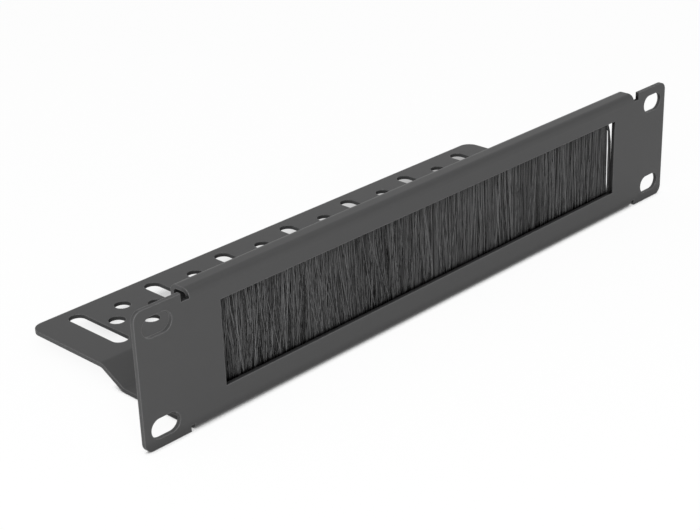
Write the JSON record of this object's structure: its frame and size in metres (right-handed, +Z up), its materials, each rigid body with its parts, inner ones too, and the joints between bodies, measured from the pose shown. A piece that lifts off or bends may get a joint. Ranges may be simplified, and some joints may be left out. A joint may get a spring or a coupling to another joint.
{
  "type": "rack brush strip panel",
  "caption": "Folded steel panel for a 10 inch rack, with slotted ears, a long window closed by a strip brush for cables, and a stepped rear tray with slots and holes for cable ties.",
  "frame": {"origin": "middle of the four rack holes, on the front face of the panel", "axes": "+X along the panel, +Y from the front face to the rear, +Z up"},
  "size_m": [0.2524, 0.0797, 0.044],
  "materials": {
    "powder_coat": "satin black powder coat on steel",
    "holder_steel": "galvanised strip, plain",
    "wire_steel": "drawn wire, plain",
    "nylon": "black nylon filaments"
  },
  "bodies": {
    "root": {"rack_panel": "powder_coat", "brush_holder": "holder_steel", "core_wire": "wire_steel", "bristles": "nylon"}
  },
  "joints": []
}
